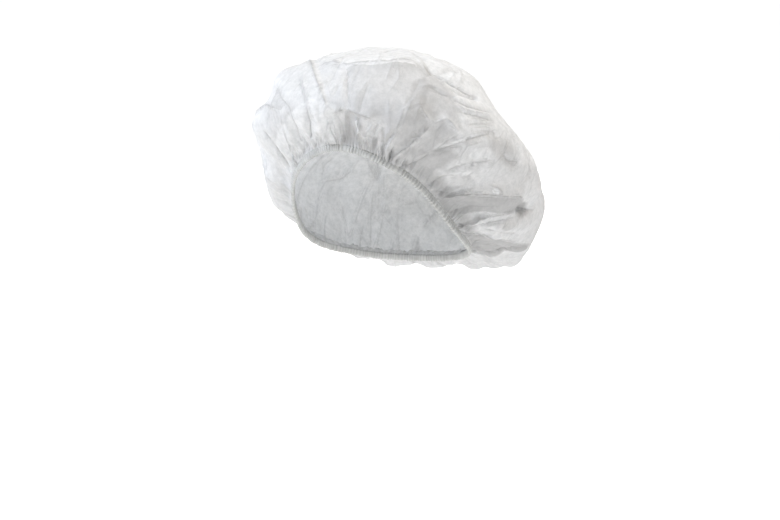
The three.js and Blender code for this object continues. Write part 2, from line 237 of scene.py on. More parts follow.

# Where folds lie over each other, so that less light comes through, and where shade falls in pockets, hollows
# and on sides
# turned from the light, as painted shade: how many layers of cloth lie there, which also darkens the colour,
# over how many millimetres the edge fades, and the corners, each a bearing and a height.
PaintedArea = namedtuple("PaintedArea", "layers soft corners")
FOLDS_AND_PAINTED_SHADE = [
    # The folds that run down to the right half of the forehead, each lying over the next, darkened as painted
    # shade.
    PaintedArea(2.8, 1.0, [(-37, 0.315), (-32, 0.195), (-27, 0.17), (-23, 0.195), (-28, 0.227)]),
    PaintedArea(1.7, 0.8, [
        (-22, 0.31), (-14, 0.207), (-11, 0.15), (-12, 0.09), (-8, 0.09), (-7, 0.15), (-11, 0.21), (-19, 0.31),
    ]),
    PaintedArea(1.2, 2.0, [(-27, 0.17), (-21, 0.165), (-22, 0.107), (-24, 0.047), (-33, 0.05), (-29, 0.11)]),
    PaintedArea(2.5, 0.8, [
        (-23, 0.4), (-14, 0.315), (-5, 0.22), (0, 0.155), (4, 0.117), (10, 0.13), (11, 0.165), (7, 0.26),
        (4, 0.305), (-14, 0.34),
    ]),
    PaintedArea(2.2, 14.0, [(-45, 0.42), (-30, 0.5), (2, 0.34), (8, 0.17), (0, 0.17), (-9, 0.2), (-27, 0.24)]),
    # The forehead's panel and the side of it that turns to the temple, darker as painted shade where it turns
    # from the light.
    PaintedArea(3.4, 1.2, [
        (4, 0.298), (14, 0.32), (23, 0.35), (33, 0.4), (37, 0.31), (39, 0.25), (36, 0.17), (31, 0.06),
        (18, 0.06), (12, 0.13), (11, 0.165), (7, 0.26),
    ]),
    PaintedArea(3.2, 9.0, [
        (29, 0.33), (33, 0.41), (38, 0.43), (47, 0.365), (52, 0.31), (53, 0.27), (55, 0.24), (49, 0.241),
        (46, 0.197), (42, 0.217), (37, 0.22), (32, 0.21),
    ]),
    PaintedArea(4.4, 9.0, [(33, 0.19), (33, 0.33), (38, 0.37), (42, 0.33), (42, 0.24), (38, 0.2)]),
    # The pocket, darkened as painted shade.
    PaintedArea(4.1, 5.0, [
        (9, 0.13), (13, 0.15), (18, 0.1), (18, 0.03), (17, -0.02), (3, -0.02), (4, 0.02), (7, 0.065),
    ]),
    # The hollow behind the front panel, its darkest side, and the flap, darkened as painted shade.
    PaintedArea(3.7, 7.0, [
        (38, 0.25), (42, 0.217), (46, 0.197), (43, 0.15), (39, 0.087), (34, 0.01), (31, 0.01), (33, 0.117),
        (35, 0.195),
    ]),
    PaintedArea(4.8, 7.0, [(43, 0.11), (41, 0.03), (38, 0.0), (35, 0.01), (39, 0.09)]),
    PaintedArea(3.3, 12.0, [
        (46, 0.197), (49, 0.241), (54, 0.215), (55, 0.18), (51, 0.12), (45, 0.033), (38, -0.02), (34, 0.01),
        (39, 0.087), (43, 0.15),
    ]),
    PaintedArea(4.3, 6.0, [(34, 0.0), (39, 0.087), (43, 0.12), (46, 0.06), (40, -0.02)]),
    # The folds from the temple and the ear to the bag, darkened as painted shade.
    PaintedArea(2.5, 3.0, [
        (51, 0.12), (56, 0.187), (59, 0.205), (61, 0.135), (70, 0.157), (73, 0.147), (66, 0.047), (60, -0.02),
        (40, -0.02), (45, 0.033),
    ]),
    PaintedArea(5.3, 4.0, [
        (66, 0.027), (72, 0.1), (78, 0.16), (88, 0.25), (99, 0.275), (102, 0.245), (89, 0.15), (84, 0.105),
        (81, 0.05), (76, -0.02), (60, -0.02),
    ]),
    PaintedArea(5.0, 8.0, [(94, 0.25), (99, 0.284), (104, 0.27), (103, 0.224), (99, 0.22)]),
    PaintedArea(4.8, 5.0, [
        (84, -0.02), (88, 0.0), (94, 0.02), (102, 0.08), (116, 0.18), (123, 0.25), (125, 0.13), (137, 0.1),
        (150, 0.05), (146, -0.02),
    ]),
    PaintedArea(4.4, 8.0, [(38, 0.04), (47, 0.12), (56, 0.175), (60, 0.165), (58, 0.09), (53, 0.02), (46, 0.0)]),
    PaintedArea(2.9, 10.0, [(65, 0.29), (73, 0.35), (79, 0.33), (80, 0.28), (72, 0.25), (67, 0.25)]),
    PaintedArea(5.3, 4.0, [(71, 0.01), (78, 0.09), (83, 0.16), (101, 0.27), (98, 0.28), (84, 0.2), (71, 0.06)]),
    # The gathers in front of the ear, and all that side, darker as painted shade on the side turned from the
    # light.
    PaintedArea(2.0, 8.0, [(-2, -0.03), (-1, 0.02), (22, 0.03), (34, 0.02), (34, -0.03)]),
    PaintedArea(4.6, 13.0, [
        (24, -0.03), (31, 0.01), (42, 0.055), (52, 0.085), (66, 0.07), (85, 0.06), (100, 0.045), (140, -0.03),
    ]),
    PaintedArea(2.1, 15.0, [
        (46, -0.02), (60, 0.24), (80, 0.32), (90, 0.4), (115, 0.4), (140, 0.3), (180, 0.2), (180, -0.02),
    ]),
]

# Painted highlights: where the cloth turns to the light, between those folds, it is painted lighter, as if
# one layer lay there alone.
PAINTED_HIGHLIGHTS = [
    PaintedArea(1.2, 1.0, [(13.5, 0.1), (16, 0.117), (17, 0.077), (15, 0.06)]),
    PaintedArea(1.2, 10.0, [
        (-54, -0.02), (-52, 0.07), (-38, 0.13), (-26, 0.15), (-9, 0.2), (7, 0.15), (4, 0.06), (1, -0.02),
    ]),
    PaintedArea(1.8, 8.0, [(18.5, 0.06), (17, 0.13), (27, 0.155), (30, 0.12), (27, 0.05)]),
    PaintedArea(1.4, 9.0, [(62, 0.15), (61, 0.19), (62, 0.23), (66, 0.275), (69, 0.27), (70, 0.237)]),
    PaintedArea(1.8, 9.0, [(59, 0.07), (60, 0.11), (67, 0.177), (70, 0.16), (63, 0.077)]),
    PaintedArea(1.0, 2.5, [(78, 0.167), (77, 0.184), (79, 0.207), (82, 0.2)]),
    PaintedArea(2.3, 3.5, [(86, 0.07), (86, 0.1), (98, 0.227), (100, 0.217)]),
    PaintedArea(2.1, 9.0, [
        (99, 0.19), (101, 0.215), (106, 0.25), (117, 0.23), (113, 0.18), (98, 0.075), (89, 0.064),
    ]),
]

# The materials. A pattern's size is how many of its cells lie along a metre.
FILAMENTS = 900  # 1.1 mm each: the real filaments, 0.02 mm thick, are too fine to draw
CLOUDS = 210  # 5 mm, where the web is thicker and thinner
HEM_CLOUDS = 160  # 6 mm
EDGE_WAVER = 120  # 8 mm
WAVER_REACH = 1.5  # how far a fold's edge wavers to either side, in millimetres
CRUMPLES = 26  # 38 mm, with finer ones down to 5 mm in them
CRUMPLE_BENDS = 30  # 33 mm
CRUMPLE_BEND = 0.02  # how far these shift the crumples
PLEATS_ROUND = 34  # the radius of the circle of cells, so 214 of them, 2.6 mm each along the rim
PLEATS_UP = 14  # 71 mm long
PLEATS_FROM = 0.055  # they start this far in from the blank's edge
PLEATS_WHOLE = 0.004
THREAD_PLIES = 900  # a wave's bands lie 0.314 m / 900 = 0.35 mm apart
THREAD_FUZZ = 2500  # 0.4 mm: the real fuzz is finer than can be drawn
RUBBER_THREADS = 300  # 0.314 m / 300 = 1.05 mm apart
KNIT_LOOPS = 1400  # 0.7 mm
MOST_LAYERS = 5
DARKEST_PAINTED_SHADE = 0.42  # how bright the cloth is where so many lie over each other: painted shade
PASSING = 0.5  # the share of the light that one layer lets through
PASSING_DENSE = 0.05
PASSING_DOUBLED = 0.25  # that the hem lets through
LINE_HALF = 1.3  # half the width of a crease's painted shade line, in millimetres
# how bright the cloth is on that painted shade line
LINE_SHADE = 0.76
DIP_HALF = 1.8  # and of its dip
MATT = 0.62
SHEEN = 0.35  # less than most plastics have

# The stage.
FLOOR_DOWN = 1.5
FLOOR_WIDE = 900
FLOOR_GLOW = 0.36  # makes up for the light that the floor lacks far from the cap
GLOW_FROM = 3
GLOW_WHOLE = 9
HORIZON = 1.03  # the backdrop's brightness at eye level, which the floor reaches far from the cap
OVERHEAD = 0.0  # and above
HORIZON_TOP = 0.10  # the sine of the elevation up to which the backdrop is bright
CEILING = 0.38  # and from which it is dark
LAMPS = [
    {"name": "key", "strength": 2.6, "azimuth": -37, "elevation": 43, "colour_code": "#EFF4FF"},
    {"name": "top", "strength": 2.2, "azimuth": 20, "elevation": 80, "colour_code": "#FFFDF8"},
    {"name": "side", "strength": 0.8, "azimuth": 110, "elevation": 50, "colour_code": "#FFEBD6"},
    {"name": "back", "strength": 0.6, "azimuth": -160, "elevation": 55, "colour_code": "#FFF6EA"},
]
LAMP_WIDE = 9  # so that shadows are soft
CAMERA_AZIMUTH = 25
CAMERA_ELEVATION = 2.5
CAMERA_DISTANCE = 2.0
CAMERA_RIGHT = 0.0062  # the cap stands above the picture's middle and a little left of it
CAMERA_DOWN = 0.045
LENS = 104.9  # in millimetres, on a sensor 36 mm wide
SENSOR = 36

rng = np.random.default_rng(21)


# --- Helpers ---


def deselect_all():
    bpy.ops.object.select_all(action="DESELECT")


def make_active(piece):
    deselect_all()
    piece.select_set(True)
    bpy.context.view_layer.objects.active = piece


def apply_modifier(piece, kind, **settings):
    modifier = piece.modifiers.new(kind.title(), kind)
    for name, value in settings.items():
        setattr(modifier, name, value)
    make_active(piece)
    bpy.ops.object.modifier_apply(modifier=modifier.name)


def read(items, name, width=3, kind=float):
    """A property of all the items, with a row for each."""
    found = np.empty(len(items) * width, kind)
    items.foreach_get(name, found)
    return found.reshape(-1, width)


def positions(mesh):
    return read(mesh.vertices, "co")


def set_positions(mesh, points):
    mesh.vertices.foreach_set("co", np.ascontiguousarray(points, float).ravel())
    mesh.update()


def loop_corners(mesh):
    return read(mesh.loops, "vertex_index", 1, int)[:, 0]


def note_on(mesh, name, values):
    """Keeps a value for each vertex, which the materials read."""
    mesh.attributes.new(name, "FLOAT", "POINT").data.foreach_set("value", values)


def round_over(mesh):
    for polygon in mesh.polygons:
        polygon.use_smooth = True


def unit(vectors):
    return vectors / np.linalg.norm(vectors, axis=-1, keepdims=True)


def in_front(bearing):
    """The bearing as -180 to 180 degrees from the front."""
    return (bearing + 180) % 360 - 180


def flat_bearing(flat):
    return np.degrees(np.arctan2(flat[:, 0], -flat[:, 1])) % 360


# --- The rim, read from the elastic loop of the frame ---


def rim_line():
    """The elastic's middle line at BEARINGS bearings, and the ways along it, up the head and outwards."""
    points = positions(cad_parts["elastic"].data)
    low, high = points.min(0), points.max(0)
    middle, half = (low + high) / 2, (high - low) / 2
    bearing = np.arctan2((points[:, 0] - middle[0]) / half[0], -(points[:, 1] - middle[1]) / half[1])
    bearing = np.degrees(bearing) % 360
    wanted = np.arange(BEARINGS) * 360 / BEARINGS
    away = np.abs(in_front(wanted[:, None] - bearing[None]))
    near = np.exp(-((away / RIM_BLUR) ** 2))
    line = (near @ points) / near.sum(1, keepdims=True)
    along = unit(np.roll(line, -1, 0) - np.roll(line, 1, 0))
    up = unit(np.array([0, 0, 1.0]) - along * along[:, 2:])
    out = np.cross(along, up)
    return line, along, up, out


rim, rim_along, rim_up, rim_out = rim_line()


def round_rim(values, bearing):
    """Values given at BEARINGS bearings, read at any bearings in degrees."""
    place = (np.asarray(bearing) % 360) * BEARINGS / 360
    first = np.floor(place).astype(int) % BEARINGS
    share = (place - np.floor(place))[..., None]
    return values[first] * (1 - share) + values[(first + 1) % BEARINGS] * share


def along_rim(bearing, out, up):
    """Points at a distance out and up from the elastic's middle line."""
    outwards = round_rim(rim_out, bearing) * out[:, None]
    return round_rim(rim, bearing) + outwards + round_rim(rim_up, bearing) * up[:, None]


# --- The form: the outer face of the solid cap, smoothed, as a grid of points ---


def felt_form():
    """The ways from FORM_CENTRE, [bearing][station], and how far the cap's outer face is along each.

    Stations go from the hem's upper edge to the crown's middle. Every second bearing and station is felt, and
    the rest lie between.
    """
    corners, faces = [], []
    for name in ("crown", "hem_band"):
        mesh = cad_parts[name].data
        mesh.calc_loop_triangles()
        known = len(corners)
        corners += [v.co.copy() for v in mesh.vertices]
        faces += [[known + i for i in t.vertices] for t in mesh.loop_triangles]
    tree = BVHTree.FromPolygons(corners, faces)
    edge = rim + rim_up * HEM_TOP + rim_out * HEM_OUT - np.array(FORM_CENTRE)
    pole = unit(np.array(FORM_POLE - FORM_CENTRE))
    start = unit(edge)
    angle = np.arccos(start @ pole)
    share = np.linspace(0, 1, STATIONS)
    turn = angle[:, None] * share[None]
    ways = start[:, None] * (np.sin(angle[:, None] - turn) / np.sin(angle[:, None]))[..., None]
    ways = ways + pole * (np.sin(turn) / np.sin(angle[:, None]))[..., None]
    reach = np.full((BEARINGS, STATIONS), np.nan)
    reach[:, 0] = np.linalg.norm(edge, axis=1)
    for i in range(0, BEARINGS, 2):
        for j in range(1, STATIONS, 2):
            way = Vector(ways[i, j])
            hit = tree.ray_cast(FORM_CENTRE + way * FEELER, -way, FEELER)
            if hit[0] is not None:
                reach[i, j] = FEELER - hit[3]
        felt = ~np.isnan(reach[i])
        reach[i] = np.interp(share, share[felt], reach[i][felt])
    reach[1::2] = (reach[::2] + np.roll(reach[::2], -1, 0)) / 2
    return ways, smoothed(ways, reach)


def smoothed(ways, reach):
    """The reach along each way, with the solid's facets blurred out but the hem's edge kept."""
    steps = np.fft.rfftfreq(BEARINGS)
    for _ in range(2):
        points = ways * reach[..., None]
        around = np.linalg.norm(np.roll(points, -1, 0) - points, axis=2).mean(0)
        along = np.linalg.norm(np.diff(points, axis=1), axis=2).mean(1).mean()
        sigma = FACET_BLUR / np.maximum(around, 1e-6)
        kept = np.exp(-2 * (math.pi * steps[:, None] * sigma[None]) ** 2)
        kept[:, :2] = 1
        soft = np.fft.irfft(np.fft.rfft(reach, axis=0) * kept, BEARINGS, axis=0)
        span = FACET_BLUR / along
        window = np.arange(-int(3 * span) - 1, int(3 * span) + 2)
        weight = np.exp(-0.5 * (window / span) ** 2)
        weight /= weight.sum()
        wide = len(window) // 2
        before = 2 * soft[:, :1] - soft[:, wide:0:-1]
        over = np.roll(soft, BEARINGS // 2, 0)[:, ::-1]  # the far side, past the crown's middle
        padded = np.concatenate([before, soft, over[:, 1 : wide + 1]], axis=1)
        reach = sum(w * padded[:, k : k + STATIONS] for k, w in enumerate(weight))
    return reach


def evenly(points):
    """The same lines with their points at even distances, and each line's length."""
    gaps = np.linalg.norm(np.diff(points, axis=1), axis=2)
    run = np.concatenate([np.zeros((len(points), 1)), np.cumsum(gaps, axis=1)], axis=1)
    share = np.linspace(0, 1, STATIONS)
    even = np.empty_like(points)
    for i, line in enumerate(points):
        for axis in range(3):
            even[i, :, axis] = np.interp(share * run[i, -1], run[i], line[:, axis])
    return even, run[:, -1]


ways, reach = felt_form()
form, form_length = evenly(np.array(FORM_CENTRE) + ways * reach[..., None])
form[:, -1] = form[:, -1].mean(0)


def form_directions():
    """The outward direction at each point of the form, and how long a degree of bearing is there."""
    around = np.roll(form, -1, 0) - np.roll(form, 1, 0)
    out = np.cross(around, np.gradient(form, axis=1))
    out = out / np.maximum(np.linalg.norm(out, axis=2, keepdims=True), 1e-12)
    out[:, -POLE_STATIONS:] = unit(out[:, -2 * POLE_STATIONS].mean(0))
    degree = np.linalg.norm(around, axis=2) / 2 * BEARINGS / 360
    return out, degree


form_out, form_degree = form_directions()


def on_form(values, bearing, height):
    """Values of the form's grid at any bearing in degrees and height from 0 to 1."""
    across = (np.asarray(bearing) % 360) * BEARINGS / 360
    i = np.floor(across).astype(int) % BEARINGS
    u = across - np.floor(across)
    along = np.clip(height, 0, 1) * (STATIONS - 1)
    j = np.minimum(along.astype(int), STATIONS - 2)
    v = along - j
    if values.ndim == 3:
        u, v = u[:, None], v[:, None]
    n = (i + 1) % BEARINGS
    low = values[i, j] * (1 - u) + values[n, j] * u
    high = values[i, j + 1] * (1 - u) + values[n, j + 1] * u
    return low * (1 - v) + high * v


# --- The blank ---


def cut_blank():
    """The round blank, flat: zones of rings, the outer one finer, round a middle filled with a square net."""
    deselect_all()
    radius = BLANK_RADIUS
    edges = []
    for number, zone in enumerate(ZONES):
        if number > 0:
            radius -= zone["width"]
        bpy.ops.mesh.primitive_circle_add(vertices=zone["spokes"], radius=radius, fill_type="NOTHING")
        if number == 0:
            blank = bpy.context.object
            blank.name = "crown_cloth"
            bpy.ops.object.mode_set(mode="EDIT")
            bpy.ops.mesh.select_all(action="SELECT")
        edges.append(radius)
        for _ in range(zone["rings"]):
            bpy.ops.mesh.extrude_edges_move()
            factor = (radius - zone["width"]) / radius
            bpy.ops.transform.resize(value=(factor, factor, 1))
            radius -= zone["width"]
        edges.append(radius)
    bpy.ops.mesh.fill_grid(span=ZONES[-1]["spokes"] // 4)
    # Each zone's inner edge is joined to the next zone's outer one.
    for outer, inner in zip(edges[1:-1:2], edges[2::2]):
        net = bmesh.from_edit_mesh(blank.data)
        for vertex in net.verts:
            size = vertex.co.length
            vertex.select_set(min(abs(size - outer), abs(size - inner)) < 0.0002)
        net.select_flush(True)
        for edge in net.edges:
            if edge.select and not edge.is_boundary:
                edge.select_set(False)
        bmesh.update_edit_mesh(blank.data)
        bpy.ops.mesh.bridge_edge_loops()
    bpy.ops.object.mode_set(mode="OBJECT")
    return blank


def flat_place(flat):
    """Bearing in degrees and height from 0 to 1 of points of the flat blank."""
    height = 1 - np.hypot(flat[:, 0], flat[:, 1]) / BLANK_RADIUS
    return flat_bearing(flat), np.clip(height, 0, 1)


def lay_flat_map(blank):
    """The cloth's own map, in metres of the flat blank, so that a pattern lies on it as it was made."""
    layer = blank.data.uv_layers.new(name="flat_cloth")
    corners = loop_corners(blank.data)
    layer.data.foreach_set("uv", positions(blank.data)[corners][:, :2].ravel())


def read_flat_map(mesh):
    """Each vertex's place on the flat blank, in metres."""
    flat = np.zeros((len(mesh.vertices), 2))
    flat[loop_corners(mesh)] = read(mesh.uv_layers["flat_cloth"].data, "uv", 2)
    return flat


# --- Gathers and creases ---


def pleat_rows():
    """The gathers, with how far each leans aside, in degrees, and how much steeper one side is."""
    rows = []
    for row in GATHERS:
        for k in range(row["count"]):
            rows.append(
                {
                    "bearing": 360 * (k + rng.uniform(-0.42, 0.42)) / row["count"],
                    "lean": rng.normal(0, 3.0),
                    "reach": row["reach"] * rng.uniform(0.55, 1.5),
                    "half_width": row["half_width"] * rng.uniform(0.7, 1.3),
                    "steep": rng.choice([0.45, 1.0, 1.6], p=[0.35, 0.3, 0.35]),
                    "depth": row["depth"] * rng.uniform(0.35, 1.35),
                }
            )
    return rows


PLEATS = pleat_rows()


def hem_wave(bearing):
    """The hem's own fine pleats: from -1 to 1, round on the crests and sharp in the dips, uneven in pitch."""
    turn = np.radians(bearing)
    uneven = sum(swing * np.sin(times * turn + start) for swing, times, start in UNEVEN_PITCH)
    phase = HEM_PLEATS * turn + uneven
    strength = 0.72 + 0.28 * np.sin(29 * turn + 2 * np.sin(7 * turn))
    return (1 - 2 * np.abs(np.sin(phase / 2)) ** 0.8) * -strength


def gathered(bearing, height):
    """How far the gathers move the cloth outwards."""
    run = height * on_form(np.repeat(form_length[:, None], STATIONS, 1), bearing, height)
    degree = on_form(form_degree, bearing, height)
    moved = hem_wave(bearing) * PLEAT_DEPTH * np.exp(-((run / PLEAT_FADE) ** 1.5))
    for pleat in PLEATS:
        line = pleat["bearing"] + pleat["lean"] * np.clip(run / LEAN_OVER, 0, 3)
        share = run / pleat["reach"]
        aside = in_front(bearing - line) * degree
        swell = pleat["half_width"] * (0.75 + 0.5 * np.clip(share, 0, 1))
        aside = np.where(aside > 0, aside * pleat["steep"], -aside / pleat["steep"]) / swell
        fade = np.clip(5 * share, 0, 1) * np.clip(1.5 * (1 - share), 0, 1)
        moved -= pleat["depth"] * np.clip(1 - aside, 0, 1) * fade
    return moved * (1 - np.interp(in_front(bearing), *np.transpose(CALM)))


def drawn(places, closed=False):
    """A line over the form through places that are given as a bearing and a height: heights and points."""
    places = np.array(places + places[:1] if closed else places, float)
    steps = np.diff(places, axis=0)
    run = np.concatenate([[0], np.cumsum(np.hypot(steps[:, 0] * DEGREE_RISE, steps[:, 1]))])
    wanted = np.linspace(0, run[-1], PATH_STEPS * len(places))
    bearing = np.interp(wanted, run, places[:, 0])
    height = np.interp(wanted, run, places[:, 1])
    return height, on_form(form, bearing, height)


def nearest(line, points, reach):
    """The points within reach of a line: which, how far away, how far along, the gap and the line's way."""
    middle = line.mean(0)
    around = np.linalg.norm(line - middle, axis=1).max() + reach
    near = np.nonzero(np.linalg.norm(points - middle, axis=1) < around)[0]
    step = np.diff(line, axis=0)
    size = np.maximum((step**2).sum(1), 1e-12)
    offset = points[near][:, None] - line[None, :-1]
    share = np.clip((offset * step[None]).sum(2) / size, 0, 1)
    gap = offset - share[..., None] * step[None]
    away = np.linalg.norm(gap, axis=2)
    best = away.argmin(1)
    pick = np.arange(len(near))
    return near, away[pick, best], (best + share[pick, best]) / len(step), gap[pick, best], step[best]


def small_crease():
    """One of the small creases that papery cloth has all over, somewhere at random."""
    bearing = rng.uniform(-180, 180)
    height = 1 - math.sqrt(rng.uniform(0.02, 0.92))
    along = rng.normal(0, 0.35 + height)
    long = rng.uniform(0.06, 0.20)
    turn = math.degrees(math.sin(along) * long / max(1 - height, 0.15)) * 0.8
    rise = math.cos(along) * long
    bow = rng.normal(0, 1.5)
    left, right = rng.permutation([rng.uniform(1.5, 3), rng.uniform(3, 9)])
    path = [
        (bearing, height),
        (bearing + turn / 2 + bow, min(height + rise / 2, 0.97)),
        (bearing + turn, min(height + rise, 0.98)),
    ]
    return Crease(rng.uniform(0.2, 0.8) * rng.choice([-0.7, 1]), left, right, path)


def long_fold(bearing):
    """One of the long shallow folds that run up from the hem."""
    start, end = rng.uniform(0.06, 0.14), rng.uniform(0.25, 0.60)
    bearing += rng.uniform(-3, 3)
    lean = rng.normal(0, 6)
    left, right = rng.permutation([rng.uniform(2, 3), rng.uniform(8, 16)])
    bow = rng.normal(0, 1.5)
    path = [(bearing, start), (bearing + lean * 0.3 + bow, 0.5 * (start + end)), (bearing + lean, end)]
    return Crease(rng.uniform(0.5, 1.2) * rng.choice([-0.8, 1]), left, right, path)


def pressed(points, out, creases):
    """How far the creases move points of the form outwards, and how near each point's nearest crease is.

    out is the outward direction at each point. The gap to the nearest crease is in millimetres, below 0 on
    its right, and comes with that crease's strength there, from -1 for a ridge to 1 for a dip.
    """
    moved = np.zeros(len(points))
    gap_to = np.full(len(points), LINE_REACH)
    strength = np.zeros(len(points))
    for crease in creases:
        height, line = drawn(crease.path)
        finest = FINEST if height.max() > BY_HEM else FINEST_BY_HEM
        left = max(crease.left, finest) / 1000
        right = max(crease.right, finest) / 1000
        near, away, along, gap, step = nearest(line, points, max(left, right, LINE_REACH / 1000))
        fade = np.clip(np.minimum(along, 1 - along) / END_FADE, 0, 1)
        if height[-1] < AT_HEM:
            fade = np.where(along > 0.5, 1, fade)
        if height[0] < AT_HEM:
            fade = np.where(along < 0.5, 1, fade)
        is_left = (np.cross(out[near], step) * gap).sum(1) > 0
        slope = np.clip(1 - away / np.where(is_left, left, right), 0, 1)
        moved[near] -= GAIN * crease.depth / 1000 * slope * fade
        closer = away * 1000 < np.abs(gap_to[near])
        here = near[closer]
        gap_to[here] = (away * 1000 * np.where(is_left, 1, -1))[closer]
        strength[here] = fade[closer] * np.clip(crease.depth / FULL_DEPTH, -1, 1)
    return moved, gap_to, strength * np.clip((LINE_REACH - np.abs(gap_to)) / LINE_FADE, 0, 1)


def layered(bearing, height):
    """How many times over the gathers lay the cloth on itself, up to two."""
    flat_round = 2 * math.pi * BLANK_RADIUS * (1 - height)
    full = flat_round / (360 * np.maximum(on_form(form_degree, bearing, height), 1e-5))
    return np.clip(full, 1, 2)


def edge_gap(corners, points, bearing, height):
    """How far each point is inside the edge of an area of painted shading, in millimetres, and below 0
    outside.
    """
    facing = in_front(bearing)
    inside = np.zeros(len(points), bool)
    around = np.array(corners, float)
    for (x0, y0), (x1, y1) in zip(around, np.roll(around, -1, 0)):
        crosses = (y0 > height) != (y1 > height)
        inside ^= crosses & (facing < x0 + (height - y0) * (x1 - x0) / (y1 - y0 + 1e-12))
    _, line = drawn(corners, closed=True)
    gap = np.full(len(points), EDGE_REACH)
    near, away, *_ = nearest(line, points, EDGE_REACH / 1000)
    gap[near] = np.minimum(away * 1000, EDGE_REACH)
    return np.where(inside, gap, -gap)


def gather(blank):
    """Moves the flat blank onto the form, with its deepest creases begun."""
    bearing, height = flat_place(positions(blank.data))
    points = on_form(form, bearing, height)
    out = unit(on_form(form_out, bearing, height))
    begun = BEGUN * pressed(points, out, CREASES)[0]
    set_positions(blank.data, points + out * begun[:, None])


def relax(cloth):
    """Lets the cloth, which is cut larger than the form, buckle under its own stiffness."""
    before = positions(cloth.data)
    _, height = flat_place(read_flat_map(cloth.data))
    hold = np.clip(1 - (height - HELD_BELOW) / HOLD_FADE, 0, 1)
    held = cloth.vertex_groups.new(name="held")
    for index, weight in enumerate(HOLD + (1 - HOLD) * hold):
        held.add([index], float(weight), "REPLACE")
    modifier = cloth.modifiers.new("Cloth", "CLOTH")
    modifier.settings.vertex_group_mass = "held"
    for name, value in STIFFNESS.items():
        setattr(modifier.settings, name, value)
    modifier.settings.effector_weights.gravity = 0
    modifier.collision_settings.use_collision = False
    modifier.collision_settings.use_self_collision = False
    modifier.point_cache.frame_start = 1
    modifier.point_cache.frame_end = FRAMES
    scene = bpy.context.scene
    for number in range(1, FRAMES + 1):
        scene.frame_set(number)
    graph = bpy.context.evaluated_depsgraph_get()
    moved = positions(cloth.evaluated_get(graph).data) - before
    cloth.modifiers.remove(modifier)
    cloth.vertex_groups.clear()
    scene.frame_set(1)
    size = np.linalg.norm(moved, axis=1, keepdims=True)
    moved *= np.minimum(1, MOST_MOVED / np.maximum(size, 1e-9))
    out = read(cloth.data.vertex_normals, "vector")
    outwards = (moved * out).sum(1, keepdims=True)
    moved -= out * np.maximum(outwards - MOST_MOVED_OUT, 0)
    set_positions(cloth.data, before + moved)


def crumple_cloth(mesh):
    """Sets the gathers and all the creases into the cloth, and keeps on it what its material reads."""
    bearing, height = flat_place(read_flat_map(mesh))
    unmoved = on_form(form, bearing, height)
    out = read(mesh.vertex_normals, "vector")
    creases = CREASES + [small_crease() for _ in range(STREWN)]
    creases += [long_fold(foot) for foot in np.linspace(LONG_FROM, LONG_TO, LONG_FOLDS)]
    folds, gap, strength = pressed(unmoved, out, creases)
    gathers = gathered(bearing, height)
    rise = gathers + folds * np.clip(height / FOLDS_FROM, 0, 1)
    set_positions(mesh, positions(mesh) + out * rise[:, None])
    # Painted shade: the deepest gathers and creases darken the cloth as if they added layers.
    painted_shade_in_hollows = PAINTED_SHADE_IN_GATHERS * np.clip(-gathers / DEEPEST - 0.1, 0, 1)
    painted_shade_in_hollows += PAINTED_SHADE_IN_CREASES * np.clip(-folds / DEEPEST, 0, 1)
    note_on(mesh, "layers", layered(bearing, height) + painted_shade_in_hollows)
    note_on(mesh, "crease_gap", gap)
    note_on(mesh, "crease_strength", strength)
    # The areas of painted shade and painted highlight, each kept as the gap to its edge.
    for number, painted_area in enumerate(FOLDS_AND_PAINTED_SHADE + PAINTED_HIGHLIGHTS):
        note_on(mesh, f"fold_{number}", edge_gap(painted_area.corners, unmoved, bearing, height))


crown_cloth = cut_blank()
lay_flat_map(crown_cloth)
gather(crown_cloth)
relax(crown_cloth)
apply_modifier(crown_cloth, "SUBSURF", levels=2, render_levels=2)
crumple_cloth(crown_cloth.data)
apply_modifier(crown_cloth, "SOLIDIFY", thickness=CLOTH_THICK, offset=-1)
make_active(crown_cloth)
bpy.ops.object.shade_smooth_by_angle(angle=math.radians(SHARP))


# --- The hem ---


def fold_hem():
    """The hem: the blank's edge, folded round the elastic and drawn into fine pleats."""
    deselect_all()
    bpy.ops.mesh.primitive_circle_add(vertices=6 * HEM_PLEATS, radius=0.1, fill_type="NOTHING")
    band = bpy.context.object
    band.name = "hem"
    bpy.ops.object.mode_set(mode="EDIT")
    bpy.ops.mesh.select_all(action="SELECT")
    for _ in HEM_SECTION[1:]:
        bpy.ops.mesh.extrude_edges_move()
        bpy.ops.transform.translate(value=(0, 0, RING_STEP))
    bpy.ops.object.mode_set(mode="OBJECT")
    flat = positions(band.data)
    bearing = flat_bearing(flat)
    ring = np.rint(flat[:, 2] / RING_STEP).astype(int)
    section = np.array([[row["out"], row["up"], row["pleat"]] for row in HEM_SECTION]) / 1000
    out, up, pleat = section[ring].T
    wave = hem_wave(bearing)
    ruffle = np.sin(np.radians(61 * bearing)) * np.sin(np.radians(17 * bearing + 40))
    below = np.clip((-RUFFLED_BELOW - up) / RUFFLED_OVER, 0, 1)
    up = up - below * (RUFFLE_FINE * hem_wave(bearing + 0.6) + RUFFLE_WIDE * ruffle)
    set_positions(band.data, along_rim(bearing, out + wave * pleat, up))
    # The pleats' dips, which the hem's material darkens as painted shade.
    note_on(band.data, "dip", np.clip(0.5 - 0.5 * wave, 0, 1))
    apply_modifier(band, "SOLIDIFY", thickness=CLOTH_THICK, offset=-1)
    round_over(band.data)
    return band


